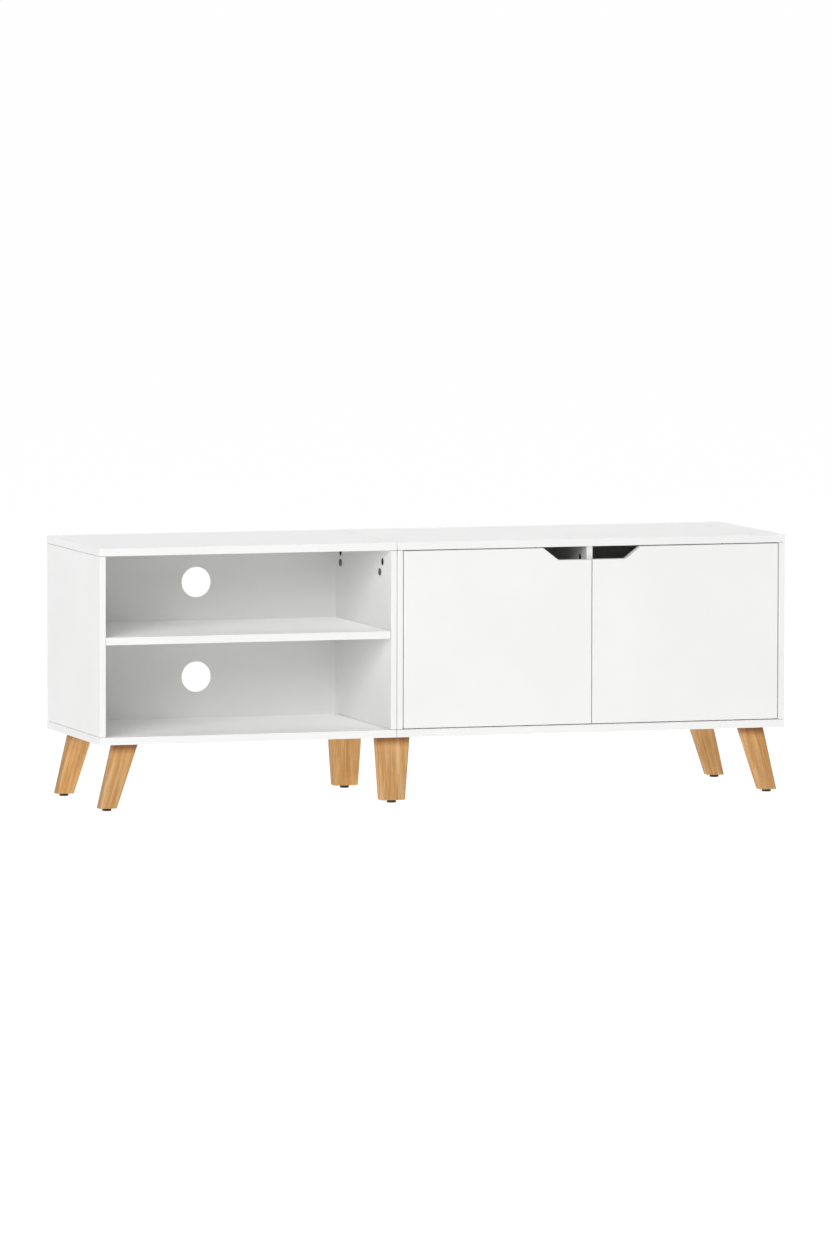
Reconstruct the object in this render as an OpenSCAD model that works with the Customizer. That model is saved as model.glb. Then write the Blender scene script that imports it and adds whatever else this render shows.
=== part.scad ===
// Low TV cabinet made of two boxes that stand side by side on six splayed wooden legs.
// The left box is open with one shelf; the right box has a divider behind two inset doors.
// X runs along the width, the front faces -Y, Z is up, and the floor is Z = 0.

/* [Boxes] */
// Outside width of the open box on the left
left_w = 600; // [480:10:760]
// Outside width of the box with doors on the right
right_w = 800; // [640:10:1000]
// Depth of both boxes from front edge to rear edge
depth = 380; // [310:5:460]
// Height of both boxes without the legs
box_h = 380; // [316:4:460]

/* [Boards] */
// Thickness of the top and bottom panels
panel_t = 15; // [12:0.5:18]
// Thickness of the four upright side panels
side_t = 12; // [12:0.5:16]
// Thickness of the divider between the doors
divider_t = 12; // [12:0.5:16]
// Thickness of the shelf
shelf_t = 15; // [12:0.5:18]
// Thickness of the two back panels
back_t = 3; // [2.5:0.5:5]
// Distance from the rear edges of the boxes to the back panels
back_inset = 13; // [8:1:25]
// Depth of the grooves that hold the back panels
groove_depth = 5; // [3:0.5:6]
// Clear space at every edge of a back panel inside its groove
groove_play = 0.5; // [0.2:0.1:1]

/* [Shelf] */
// Clear height of the bay under the shelf
low_bay_h = 178; // [110:1:200]
// How far the shelf sits behind the front edges
shelf_setback = 1; // [0:0.5:20]
// Space between each end of the shelf and its side panel
shelf_play = 0.3; // [0.2:0.1:0.5]

/* [Cable holes] */
// Diameter of the cable holes in the back panels
cable_d = 60; // [40:2:70]
// Height of the lower hole above the floor of its bay
low_hole_h = 81; // [50:1:100]
// Height of the upper hole above the shelf
high_hole_h = 75; // [45:1:90]

/* [Doors] */
// Thickness of the doors
door_t = 15; // [14.5:0.5:18]
// Space round each door and between the two doors
door_gap = 2; // [1.5:0.1:3]
// Depth of the finger cut-out below the top edge of the door
cut_depth = 24; // [16:1:32]
// Length of the flat part of the cut-out, measured from the free edge
cut_flat = 68; // [50:1:90]
// Length of the slanted part of the cut-out along the top edge
cut_slope = 31; // [15:1:45]
// Radius where the flat part meets the slanted part
cut_inner_r = 9; // [4:1:15]
// Radius where the slanted part meets the top edge
cut_outer_r = 4; // [1:0.5:8]
// Thickness of the two stop pads on the front edge of the divider
pad_t = 0.7; // [0.5:0.1:2]
// Diameter of the stop pads
pad_d = 9; // [6:0.5:11]
// Free space between a closed door and the stop pads
pad_play = 0.3; // [0.3:0.05:0.5]

/* [Hinges] */
// Diameter of the hinge cups
cup_d = 35; // [35:1:36]
// Thickness of board left between the hinge cups and the front of the door
cup_front = 3.5; // [3:0.1:3.8]
// Distance from the edge of the door to the middle of the cup
cup_edge = 21.5; // [20.5:0.5:24]
// Distance from the edge of the door to the pivot
pivot_edge = 16; // [16:0.5:18]
// Distance from the front of the door to the pivot
pivot_in = 7.2; // [7:0.1:7.6]
// Distance from the ends of the door to the middle of each hinge
hinge_end = 64; // [40:1:80]
// Thickness of the pressed hinge arm
arm_t = 2.5; // [2:0.1:2.8]
// Width of the hinge arm
arm_w = 14; // [10:0.5:15]
// Radius of the hinge pin
hinge_pin_r = 1.25; // [1:0.05:1.5]
// Distance from the front edges to the screws of the mounting plate
plate_y = 52; // [50:1:60]

/* [Legs] */
// Height of the wooden legs
leg_h = 125; // [100:5:180]
// Thickness of the legs from front to back
leg_t = 27; // [22:1:35]
// Distance from the front and rear edges to the legs
leg_inset = 22; // [15:1:40]
// Width of an end leg at the top
end_leg_top = 49; // [44:1:60]
// Width of an end leg at the foot
end_leg_foot = 35; // [30:1:45]
// Distance from the end of the cabinet to the top of an end leg
end_leg_in = 35; // [30:1:60]
// Distance from the end of the cabinet to the foot of an end leg
end_foot_in = 6; // [0:1:30]
// Width of a middle leg at the top
mid_leg_top = 68; // [64:1:80]
// Width of a middle leg at the foot
mid_leg_foot = 50; // [40:1:60]
// Radius of the upright edges of the legs
leg_edge_r = 5; // [2:0.5:8]
// Diameter of the round glide under each leg
glide_d = 18; // [14:1:24]
// Height of the glide below the wood
glide_h = 5; // [3:0.5:8]

/* [Fasteners] */
// Diameter of the cam locks
cam_d = 15; // [12:0.5:15]
// Depth of the cam locks
cam_len = 9.5; // [9.3:0.1:9.6]
// Distance from the end of a board to the middle of its cam locks
cam_drop = 26; // [24:1:34]
// Distance from the front edges to the front cam locks
cam_front = 58; // [40:1:70]
// Distance from the rear edges to the rear cam locks
cam_rear = 46; // [40:1:70]
// Radius of the bolt that each cam lock pulls on
cam_bolt_r = 2.5; // [2:0.1:2.8]
// Depth of the threaded end of a cam bolt in its board
cam_thread_len = 9; // [7:0.5:9.5]
// Radius of the wooden dowels
dowel_r = 3; // [2.5:0.5:4]
// Depth of a dowel in the upright board
dowel_in_edge = 15; // [10:1:20]
// Depth of a dowel in the top or bottom panel
dowel_in_face = 9; // [6:0.5:10]
// Distance between a dowel and the cam lock or base screw beside it
dowel_pitch = 32; // [24:1:40]
// Distance from the front and rear edges to the base screws
base_screw_in = 76; // [70:1:90]
// Length of the base screws
base_screw_len = 45; // [35:1:50]
// Radius of the base screws in the upright boards
base_screw_r = 2.4; // [2:0.1:2.6]
// Radius of the heads of the base screws
base_head_r = 4.2; // [3.5:0.1:5]
// Distance from the inside of the top panel down to the connector bolts
connector_drop = 47; // [46:1:70]
// Distance from the front edges to the front connector bolt
connector_front = 72; // [60:1:90]
// Distance from the rear edges to the rear connector bolt
connector_rear = 48; // [44:1:70]
// Radius of the connector bolts
connector_r = 2.9; // [2:0.1:3]
// Radius of the flat heads of the connector bolts and their sleeve nuts
connector_head_r = 7; // [5:0.5:8]
// Radius of the leg bolts
leg_bolt_r = 3; // [2.5:0.5:3]
// Length of the threaded inserts in the legs
insert_len = 18; // [12:1:20]
// Outside radius of the threaded inserts
insert_r = 4.5; // [4:0.1:5]
// Distance between the two bolts of an end leg
leg_bolt_pitch = 22; // [20:1:24]

/* [Hidden] */
$fn = 48;

WHITE = "#f2f2f2";
OAK = "#cb9a60";
STEEL = "#b9bbbe";
ZINC = "#9fa2a6";
BLACK = "#1c1c1e";
BEECH = "#d9b384";

over = 1;            // how far a cutter runs past the face it starts from
slip = 0.1;          // clearance of a piece that drops into its hole
snug = 0.02;         // clearance round a screw, a dowel or a pressed pin
run = 0.05;          // radial clearance of the hinge pins in the arms

// Edges of the two boxes
x_left = -(left_w + right_w) / 2;
x_seam = x_left + left_w;
x_right = -x_left;
y_front = -depth / 2;
y_rear = depth / 2;
z_box = leg_h + glide_h;
z_floor = z_box + panel_t;
z_top = z_box + box_h;
z_ceil = z_top - panel_t;

// Inside faces of the four side panels and the middle of the divider
bay_l0 = x_left + side_t;
bay_l1 = x_seam - side_t;
bay_r0 = x_seam + side_t;
bay_r1 = x_right - side_t;
x_div = (bay_r0 + bay_r1) / 2;

// Back panels and shelf
back_y1 = y_rear - back_inset;
back_y0 = back_y1 - back_t;
shelf_z0 = z_floor + low_bay_h;
shelf_z1 = shelf_z0 + shelf_t;
shelf_x0 = bay_l0 + shelf_play;
shelf_x1 = bay_l1 - shelf_play;
rear_play = 0.3;     // between the back panels and the shelf or divider in front of them

// Doors, cups and pivots
door_w = (bay_r1 - bay_r0 - 3 * door_gap) / 2;
door_z0 = z_floor + door_gap;
door_h = z_ceil - z_floor - 2 * door_gap;
div_front = y_front + door_t + pad_play + pad_t;
hinge_zs = [door_z0 + hinge_end, door_z0 + door_h - hinge_end];
cup_x = door_gap + cup_edge;
cup_depth = door_t - cup_front;
cup_wall = 1.5;
cup_floor = 1;
cup_in_r = cup_d / 2 - cup_wall;
flange_t = 1.2;
flange_r = cup_d / 2 + 2;
wing_x = cup_x + 5.5;                 // line of the two cup screws
wing_z = 24;                          // half the distance between them
wing_half = 6.5;
pivot_x = door_gap + pivot_edge;
pin_half = sqrt(pow(cup_in_r, 2) - pow(cup_x - pivot_x, 2)) + cup_wall / 2;
eye_r = 2.4;
cup_screw_r = 1.7;
cup_screw_len = 10;
pan_r = 3.5;                          // pan heads of the cup and plate screws
pan_h = 1.6;
arm_x = 9.75;                         // middle of the arm above the side panel
ridge_h = arm_x - arm_t / 2;
ridge_w = 11;
plate_t = 2.2;
plate_half = 24;
plate_w = 12;
plate_hole_z = 16;
plate_screw_len = 9.5;
arm_end_y = plate_y + 18;
ridge_y = [plate_y - 14, plate_y + 12];
arm_screw_ys = [plate_y - 8, plate_y + 8];
arm_screw_r = 2.4;
arm_screw_head_r = 4;
arm_screw_head_h = 2;
arm_screw_grip = 6;
hinge_open = 95;                      // how far the doors open, in degrees
door_corner = norm([pivot_edge, door_t - pivot_in]);     // sweep of the door's hidden corner
neck_rise = 21.4;                     // slope of the first stretch of the arm, in degrees
neck = (door_t - pivot_in + flange_t + arm_t / 2 + 0.8) / sin(neck_rise + hinge_open);
neck_x = pivot_x + neck * cos(neck_rise);
arm_line = [
    [pivot_x, pivot_in],
    [neck_x, pivot_in + neck * sin(neck_rise)],
    [neck_x + 0.5, pivot_in + door_corner - 0.3],
    [arm_x, pivot_in + door_corner + 6.2],
    [arm_x, arm_end_y],
];
pad_zs = [door_z0 + 60, door_z0 + door_h - 60];

// Legs: place along X of the top and of the foot of the left, middle and right pair
leg_tops = [x_left + end_leg_in + end_leg_top / 2, x_seam, x_right - end_leg_in - end_leg_top / 2];
leg_feet = [x_left + end_foot_in + end_leg_foot / 2, x_seam, x_right - end_foot_in - end_leg_foot / 2];
leg_top_w = [end_leg_top, mid_leg_top, end_leg_top];
leg_foot_w = [end_leg_foot, mid_leg_foot, end_leg_foot];
leg_ys = [y_front + leg_inset + leg_t / 2, y_rear - leg_inset - leg_t / 2];
leg_bolt_head_r = 6;
leg_bolt_head_h = 3.3;
leg_bolt_len = panel_t + insert_len - 2;
end_lean = (leg_tops[0] - leg_feet[0]) / leg_h * insert_len / 2;
end_bolt_x = leg_tops[0] - end_lean;
mid_bolt_off = side_t + leg_bolt_head_r + 2;
leg_bolt_xs = [
    [end_bolt_x - leg_bolt_pitch / 2, end_bolt_x + leg_bolt_pitch / 2],
    [x_seam - mid_bolt_off, x_seam + mid_bolt_off],
    [-end_bolt_x - leg_bolt_pitch / 2, -end_bolt_x + leg_bolt_pitch / 2],
];
nail_r = 1.2;
nail_len = 20;
nail_head_r = 3.2;
nail_head_h = 1;
nail_recess = 1.5;

// Upright boards: middle along X, side that the cam locks open to (+1 or -1), thickness
END_L = [x_left + side_t / 2, 1, side_t];
INNER_L = [x_seam - side_t / 2, -1, side_t];
INNER_R = [x_seam + side_t / 2, 1, side_t];
DIVIDER = [x_div, -1, divider_t];
END_R = [x_right - side_t / 2, -1, side_t];

cam_ys = [y_front + cam_front, y_rear - cam_rear];
cam_z = z_ceil - cam_drop;
cam_recess = 0.2;
cam_bolt_in = 6;                      // depth of the cam bolt below the face with the cam
cam_head_r = 3.1;
cam_head_h = 3;
cam_bolt_bore = cam_head_r + 0.4;
cam_thread_r = 3;
top_dowel_ys = [cam_ys[0] + dowel_pitch, cam_ys[1] - dowel_pitch];
base_ys = [y_front + base_screw_in, y_rear - base_screw_in];
base_dowel_ys = [base_ys[0] + dowel_pitch, base_ys[1] - dowel_pitch];
base_head_h = 2.5;
base_neck_r = 3.3;
connector_ys = [y_front + connector_front, y_rear - connector_rear];
connector_z = z_ceil - connector_drop;
connector_head_h = 2;
sleeve_r = 4;

// ---------- helpers ----------

module board(low, high) {
    translate(low) cube(high - low);
}

// A cylinder that starts at `at` and runs along +X, -X, +Y or +Z
module rod(at, r, h, dir = "z") {
    turn = dir == "x" ? [0, 90, 0] : dir == "-x" ? [0, -90, 0] : dir == "y" ? [-90, 0, 0] : [0, 0, 0];
    translate(at) rotate(turn) cylinder(r = r, h = h);
}

// Points of a rounded corner p between its neighbours a and b
function rounded(a, p, b, r, n = 10) =
    let (
        u = (a - p) / norm(a - p),
        v = (b - p) / norm(b - p),
        half = acos(u * v) / 2,
        c = p + (u + v) / norm(u + v) * r / sin(half),
        s = p + u * r / tan(half) - c,
        e = p + v * r / tan(half) - c,
        a0 = atan2(s[1], s[0]),
        turn = atan2(s[0] * e[1] - s[1] * e[0], s * e)
    )
    [for (i = [0 : n]) c + r * [cos(a0 + turn * i / n), sin(a0 + turn * i / n)]];

function cam_face(u) = u[0] + u[1] * u[2] / 2;

// Puts a cam lock's own frame on an upright board: local Z goes into the board, local X up
module at_upright(u) {
    for (y = cam_ys)
        translate([cam_face(u), y, cam_z]) rotate([0, -90, u[1] > 0 ? 0 : 180]) children();
}

// The same frame on the underside of the shelf: local X points at the side panel
module at_shelf_end(end) {
    x = end > 0 ? shelf_x1 - cam_drop : shelf_x0 + cam_drop;
    for (y = cam_ys)
        translate([x, y, shelf_z0]) rotate([0, 0, end > 0 ? 0 : 180]) children();
}

module at_all_cams() {
    for (u = [END_L, INNER_L, INNER_R, DIVIDER, END_R]) at_upright(u) children();
    for (end = [-1, 1]) at_shelf_end(end) children();
}

// ---------- holes, each cut from the same values as what goes in it ----------

module cam_bore() {
    rod([0, 0, -over], cam_d / 2 + slip, cam_len + cam_recess + slip + over);
}

module cam_bolt_passage() {
    rod([0, 0, cam_bolt_in], cam_bolt_bore, cam_drop + over, "x");
}

module cam_thread_bore() {
    rod([cam_drop - over, 0, cam_bolt_in], cam_thread_r + snug, cam_thread_len + over + slip, "x");
}

module top_dowel_bores(u) {
    for (y = top_dowel_ys)
        rod([u[0], y, z_ceil - dowel_in_edge - slip], dowel_r + snug, dowel_in_edge + dowel_in_face + 2 * slip);
}

module base_dowel_bores(u) {
    for (y = base_dowel_ys)
        rod([u[0], y, z_floor - dowel_in_face - slip], dowel_r + snug, dowel_in_edge + dowel_in_face + 2 * slip);
}

module base_screw_bores(u) {
    for (y = base_ys) {
        rod([u[0], y, z_box - over], base_head_r + slip, over + base_head_h + slip);
        rod([u[0], y, z_box], base_neck_r + slip, panel_t);
        rod([u[0], y, z_floor - over], base_screw_r + snug, base_screw_len - panel_t + over + slip);
    }
}

module leg_bolt_bores(xs) {
    for (x = xs, y = leg_ys) {
        rod([x, y, z_box - over], leg_bolt_r + slip, panel_t + 2 * over);
        translate([x, y, z_floor - leg_bolt_head_h - slip])
            cylinder(r1 = leg_bolt_r + slip, r2 = leg_bolt_head_r + slip, h = leg_bolt_head_h);
        rod([x, y, z_floor - slip - snug], leg_bolt_head_r + slip, over);
    }
}

module connector_bores(r) {
    for (y = connector_ys) rod([x_seam - side_t - over, y, connector_z], r, 2 * (side_t + over), "x");
}

// Vertical groove in a side panel; `face` is its inside face, `dir` points into the board
module side_groove(face, dir) {
    x = dir > 0 ? face - over : face - groove_depth;
    translate([x, back_y0 - slip, z_box]) cube([groove_depth + over, back_t + 2 * slip, box_h]);
}

// Stopped groove in a top or bottom panel
module panel_groove(x0, x1, z) {
    translate([x0 - groove_depth, back_y0 - slip, z])
        cube([x1 - x0 + 2 * groove_depth, back_t + 2 * slip, groove_depth + over]);
}

// Puts the hinge frame at each hinge: X away from the side panel, Y into the cabinet
module at_hinge(side, zs = hinge_zs) {
    for (z = zs)
        if (side == "left") translate([bay_r0, y_front, z]) children();
        else translate([bay_r1, y_front, z]) mirror([1, 0, 0]) children();
}

module plate_screw_bores(side) {
    at_hinge(side) for (z = [-plate_hole_z, plate_hole_z])
        rod([over, plate_y, z], cup_screw_r + snug, plate_screw_len + over + slip, "-x");
}

// ---------- open box ----------

module left_top() {
    color(WHITE) difference() {
        board([x_left, y_front, z_ceil], [x_seam, y_rear, z_top]);
        panel_groove(bay_l0, bay_l1, z_ceil - over);
        for (u = [END_L, INNER_L]) {
            top_dowel_bores(u);
            at_upright(u) cam_thread_bore();
        }
    }
}

module left_bottom() {
    color(WHITE) difference() {
        board([x_left, y_front, z_box], [x_seam, y_rear, z_floor]);
        panel_groove(bay_l0, bay_l1, z_floor - groove_depth);
        for (u = [END_L, INNER_L]) {
            base_dowel_bores(u);
            base_screw_bores(u);
        }
        leg_bolt_bores([leg_bolt_xs[0][0], leg_bolt_xs[0][1], leg_bolt_xs[1][0]]);
    }
}

module left_end_side() {
    color(WHITE) difference() {
        board([x_left, y_front, z_floor], [bay_l0, y_rear, z_ceil]);
        side_groove(bay_l0, -1);
        top_dowel_bores(END_L);
        base_dowel_bores(END_L);
        base_screw_bores(END_L);
        at_upright(END_L) cam_bore();
        at_upright(END_L) cam_bolt_passage();
        at_shelf_end(-1) cam_thread_bore();
    }
}

module left_inner_side() {
    color(WHITE) difference() {
        board([bay_l1, y_front, z_floor], [x_seam, y_rear, z_ceil]);
        side_groove(bay_l1, 1);
        top_dowel_bores(INNER_L);
        base_dowel_bores(INNER_L);
        base_screw_bores(INNER_L);
        at_upright(INNER_L) cam_bore();
        at_upright(INNER_L) cam_bolt_passage();
        at_shelf_end(1) cam_thread_bore();
        connector_bores(connector_r + slip);
    }
}

module left_shelf() {
    color(WHITE) difference() {
        board([shelf_x0, y_front + shelf_setback, shelf_z0], [shelf_x1, back_y0 - rear_play, shelf_z1]);
        for (end = [-1, 1]) at_shelf_end(end) {
            cam_bore();
            cam_bolt_passage();
        }
    }
}

module back_panel(x0, x1) {
    inset = groove_depth - groove_play;
    board([x0 - inset, back_y0, z_floor - inset], [x1 + inset, back_y1, z_ceil + inset]);
}

module cable_hole(x, z) {
    rod([x, back_y0 - over, z], cable_d / 2, back_t + 2 * over, "y");
}

module left_back() {
    x = (bay_l0 + bay_l1) / 2;
    color(WHITE) difference() {
        back_panel(bay_l0, bay_l1);
        cable_hole(x, z_floor + low_hole_h);
        cable_hole(x, shelf_z1 + high_hole_h);
    }
}

// ---------- box with doors ----------

module right_top() {
    color(WHITE) difference() {
        board([x_seam, y_front, z_ceil], [x_right, y_rear, z_top]);
        panel_groove(bay_r0, bay_r1, z_ceil - over);
        for (u = [INNER_R, DIVIDER, END_R]) {
            top_dowel_bores(u);
            at_upright(u) cam_thread_bore();
        }
    }
}

module right_bottom() {
    color(WHITE) difference() {
        board([x_seam, y_front, z_box], [x_right, y_rear, z_floor]);
        panel_groove(bay_r0, bay_r1, z_floor - groove_depth);
        for (u = [INNER_R, DIVIDER, END_R]) {
            base_dowel_bores(u);
            base_screw_bores(u);
        }
        leg_bolt_bores([leg_bolt_xs[1][1], leg_bolt_xs[2][0], leg_bolt_xs[2][1]]);
    }
}

module right_inner_side() {
    color(WHITE) difference() {
        board([x_seam, y_front, z_floor], [bay_r0, y_rear, z_ceil]);
        side_groove(bay_r0, -1);
        top_dowel_bores(INNER_R);
        base_dowel_bores(INNER_R);
        base_screw_bores(INNER_R);
        at_upright(INNER_R) cam_bore();
        at_upright(INNER_R) cam_bolt_passage();
        connector_bores(sleeve_r + slip);
        plate_screw_bores("left");
    }
}

module right_end_side() {
    color(WHITE) difference() {
        board([bay_r1, y_front, z_floor], [x_right, y_rear, z_ceil]);
        side_groove(bay_r1, 1);
        top_dowel_bores(END_R);
        base_dowel_bores(END_R);
        base_screw_bores(END_R);
        at_upright(END_R) cam_bore();
        at_upright(END_R) cam_bolt_passage();
        plate_screw_bores("right");
    }
}

module divider() {
    color(WHITE) difference() {
        board([x_div - divider_t / 2, div_front, z_floor],
              [x_div + divider_t / 2, back_y0 - rear_play, z_ceil]);
        top_dowel_bores(DIVIDER);
        base_dowel_bores(DIVIDER);
        base_screw_bores(DIVIDER);
        at_upright(DIVIDER) cam_bore();
        at_upright(DIVIDER) cam_bolt_passage();
    }
}

module right_back() {
    color(WHITE) difference() {
        back_panel(bay_r0, bay_r1);
        for (x = [(bay_r0 + x_div) / 2, (bay_r1 + x_div) / 2]) cable_hole(x, (z_floor + z_ceil) / 2);
    }
}

module door_stop_pads() {
    color(STEEL) for (z = pad_zs) rod([x_div, div_front - pad_t, z], pad_d / 2, pad_t, "y");
}

// ---------- doors ----------

// Outline seen from the front, with the hinge edge at 0 and the cut-out at the free edge
module door_outline() {
    free_low = [door_w, door_h - cut_depth];
    bend = [door_w - cut_flat, door_h - cut_depth];
    brink = [door_w - cut_flat - cut_slope, door_h];
    polygon(concat(
        [[0, 0], [door_w, 0], free_low],
        rounded(free_low, bend, brink, cut_inner_r),
        rounded(bend, brink, [0, door_h], cut_outer_r),
        [[0, door_h]]
    ));
}

module door(side) {
    color(WHITE) difference() {
        at_hinge(side, [door_z0])
            translate([door_gap, door_t, 0]) rotate([90, 0, 0]) linear_extrude(door_t) door_outline();
        at_hinge(side) {
            rod([cup_x, door_t - cup_depth - slip, 0], cup_d / 2, cup_depth + slip + over, "y");
            for (z = [-wing_z, wing_z])
                rod([wing_x, door_t - cup_screw_len, z], cup_screw_r + snug, cup_screw_len + over, "y");
        }
    }
}

module left_door() { door("left"); }
module right_door() { door("right"); }

// ---------- concealed hinges ----------

// Cross for the screwdriver, cut from the top of a screw head along local Z
module cross_recess() {
    for (turn = [0, 90]) rotate([0, 0, turn]) translate([-2, -0.45, -over]) cube([4, 0.9, 1 + over]);
}

// Pressed steel cup with a flange and two screw wings on the back of the door
module cup(side, z) {
    color(STEEL) at_hinge(side, [z]) difference() {
        union() {
            rod([cup_x, door_t - cup_depth, 0], cup_d / 2 - slip, cup_depth, "y");
            rod([cup_x, door_t, 0], flange_r, flange_t, "y");
            translate([wing_x - wing_half, door_t, -wing_z - wing_half])
                cube([2 * wing_half, flange_t, 2 * (wing_z + wing_half)]);
        }
        rod([cup_x, door_t - cup_depth + cup_floor, 0], cup_in_r, cup_depth + flange_t + over, "y");
        rod([pivot_x, pivot_in, -pin_half - slip], hinge_pin_r + snug, 2 * (pin_half + slip));
        for (z = [-wing_z, wing_z])
            rod([wing_x, door_t - over, z], cup_screw_r + slip, flange_t + 2 * over, "y");
    }
}

module hinge_pins(side) {
    color(ZINC) at_hinge(side) rod([pivot_x, pivot_in, -pin_half], hinge_pin_r, 2 * pin_half);
}

module cup_screws(side) {
    color(ZINC) at_hinge(side) for (z = [-wing_z, wing_z]) difference() {
        union() {
            rod([wing_x, door_t - cup_screw_len + slip, z], cup_screw_r, cup_screw_len + flange_t, "y");
            rod([wing_x, door_t + flange_t, z], pan_r, pan_h, "y");
        }
        translate([wing_x, door_t + flange_t + pan_h, z]) rotate([90, 0, 0]) cross_recess();
    }
}

// Points of a strip of half thickness h on one side (+1 or -1) of a bent centre line
function strip_edge(line, h, side) = [
    for (i = [0 : len(line) - 1])
        let (
            a = line[max(i, 1)] - line[max(i, 1) - 1],
            b = line[min(i, len(line) - 2) + 1] - line[min(i, len(line) - 2)],
            na = [-a[1], a[0]] / norm(a),
            nb = [-b[1], b[0]] / norm(b)
        )
        line[i] + side * h * (na + nb) / (1 + na * nb)
];

function backwards(points) = [for (i = [len(points) - 1 : -1 : 0]) points[i]];

// Arm bent from strip, with the eye for the pin at its front end
module arm(side, z) {
    color(STEEL) at_hinge(side, [z]) difference() {
        union() {
            rod([pivot_x, pivot_in, -arm_w / 2], eye_r, arm_w);
            translate([0, 0, -arm_w / 2]) linear_extrude(arm_w) polygon(concat(
                strip_edge(arm_line, arm_t / 2, 1),
                backwards(strip_edge(arm_line, arm_t / 2, -1))
            ));
        }
        rod([pivot_x, pivot_in, -arm_w / 2 - over], hinge_pin_r + run, arm_w + 2 * over);
        for (y = arm_screw_ys) rod([arm_x - arm_t, y, 0], arm_screw_r + slip, 2 * arm_t, "x");
    }
}

module mounting_plate(side, z) {
    color(STEEL) at_hinge(side, [z]) difference() {
        union() {
            translate([0, plate_y - plate_w / 2, -plate_half]) cube([plate_t, plate_w, 2 * plate_half]);
            translate([0, ridge_y[0], -ridge_w / 2]) cube([ridge_h, ridge_y[1] - ridge_y[0], ridge_w]);
        }
        for (z = [-plate_hole_z, plate_hole_z])
            rod([-over, plate_y, z], cup_screw_r + slip, plate_t + 2 * over, "x");
        for (y = arm_screw_ys)
            rod([ridge_h - arm_screw_grip - slip, y, 0], arm_screw_r + snug, arm_screw_grip + slip + over, "x");
    }
}

module plate_screws() {
    color(ZINC) for (side = ["left", "right"]) at_hinge(side)
        for (z = [-plate_hole_z, plate_hole_z]) difference() {
            union() {
                rod([plate_t, plate_y, z], cup_screw_r, plate_t + plate_screw_len, "-x");
                rod([plate_t, plate_y, z], pan_r, pan_h, "x");
            }
            translate([plate_t + pan_h, plate_y, z]) rotate([0, -90, 0]) cross_recess();
        }
}

module arm_screws() {
    color(ZINC) for (side = ["left", "right"]) at_hinge(side) for (y = arm_screw_ys) difference() {
        union() {
            rod([ridge_h - arm_screw_grip, y, 0], arm_screw_r, arm_screw_grip + arm_t, "x");
            rod([ridge_h + arm_t, y, 0], arm_screw_head_r, arm_screw_head_h, "x");
        }
        translate([ridge_h + arm_t + arm_screw_head_h, y, 0]) rotate([0, -90, 0]) cross_recess();
    }
}

// ---------- legs ----------

// Corners of a leg at one height
module leg_slice(x, w, y, z) {
    slice = 0.01;
    for (sx = [-1, 1], sy = [-1, 1])
        translate([x + sx * (w / 2 - leg_edge_r), y + sy * (leg_t / 2 - leg_edge_r), z])
            cylinder(r = leg_edge_r, h = slice, $fn = 32);
}

module leg(i, y) {
    slice = 0.01;
    color(OAK) difference() {
        hull() {
            leg_slice(leg_tops[i], leg_top_w[i], y, z_box - slice);
            leg_slice(leg_feet[i], leg_foot_w[i], y, glide_h);
        }
        for (x = leg_bolt_xs[i]) rod([x, y, z_box - insert_len - slip], insert_r + snug, insert_len + slip + over);
        rod([leg_feet[i], y, glide_h - over], nail_r + snug, nail_len - glide_h + nail_recess + nail_head_h + over);
    }
}

// Turned plastic disc with a stepped hole for its nail
module glide(i, y) {
    chamfer = 0.8;
    r = glide_d / 2;
    seat = nail_recess + nail_head_h;
    color(BLACK) translate([leg_feet[i], y, 0]) rotate_extrude() polygon([
        [nail_head_r + slip, 0], [r - chamfer, 0], [r, chamfer], [r, glide_h],
        [nail_r + slip, glide_h], [nail_r + slip, seat], [nail_head_r + slip, seat],
    ]);
}

module glide_nails() {
    color(STEEL) for (i = [0 : 2], y = leg_ys) {
        rod([leg_feet[i], y, nail_recess], nail_head_r, nail_head_h);
        rod([leg_feet[i], y, nail_recess + nail_head_h], nail_r, nail_len - nail_head_h);
    }
}

module leg_inserts() {
    color(ZINC) for (i = [0 : 2], x = leg_bolt_xs[i], y = leg_ys)
        translate([x, y, z_box - insert_len]) difference() {
            cylinder(r = insert_r, h = insert_len);
            rod([0, 0, -over], leg_bolt_r + snug, insert_len + 2 * over);
        }
}

module leg_bolts() {
    color(STEEL) for (i = [0 : 2], x = leg_bolt_xs[i], y = leg_ys)
        translate([x, y, z_floor - slip]) difference() {
            union() {
                rod([0, 0, -leg_bolt_len], leg_bolt_r, leg_bolt_len);
                translate([0, 0, -leg_bolt_head_h])
                    cylinder(r1 = leg_bolt_r, r2 = leg_bolt_head_r, h = leg_bolt_head_h);
            }
            translate([0, 0, -2]) cylinder(d = 4, h = 3, $fn = 6);
        }
}

// ---------- knock-down fasteners ----------

// Cam lock in its own frame, with the passage for the bolt and a cross for the driver
module cam_locks() {
    color(ZINC) at_all_cams() difference() {
        rod([0, 0, cam_recess], cam_d / 2, cam_len);
        rod([-cam_head_h / 2 - cam_recess, 0, cam_bolt_in], cam_bolt_bore, cam_d, "x");
        for (turn = [45, 135]) rotate([0, 0, turn]) translate([-3, -0.6, -over]) cube([6, 1.2, 1.2 + over]);
    }
}

module cam_bolts() {
    color(STEEL) at_all_cams() {
        rod([-cam_head_h / 2, 0, cam_bolt_in], cam_head_r, cam_head_h, "x");
        rod([cam_head_h / 2, 0, cam_bolt_in], cam_bolt_r, cam_drop - cam_head_h / 2, "x");
        rod([cam_drop, 0, cam_bolt_in], cam_thread_r, cam_thread_len, "x");
    }
}

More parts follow.
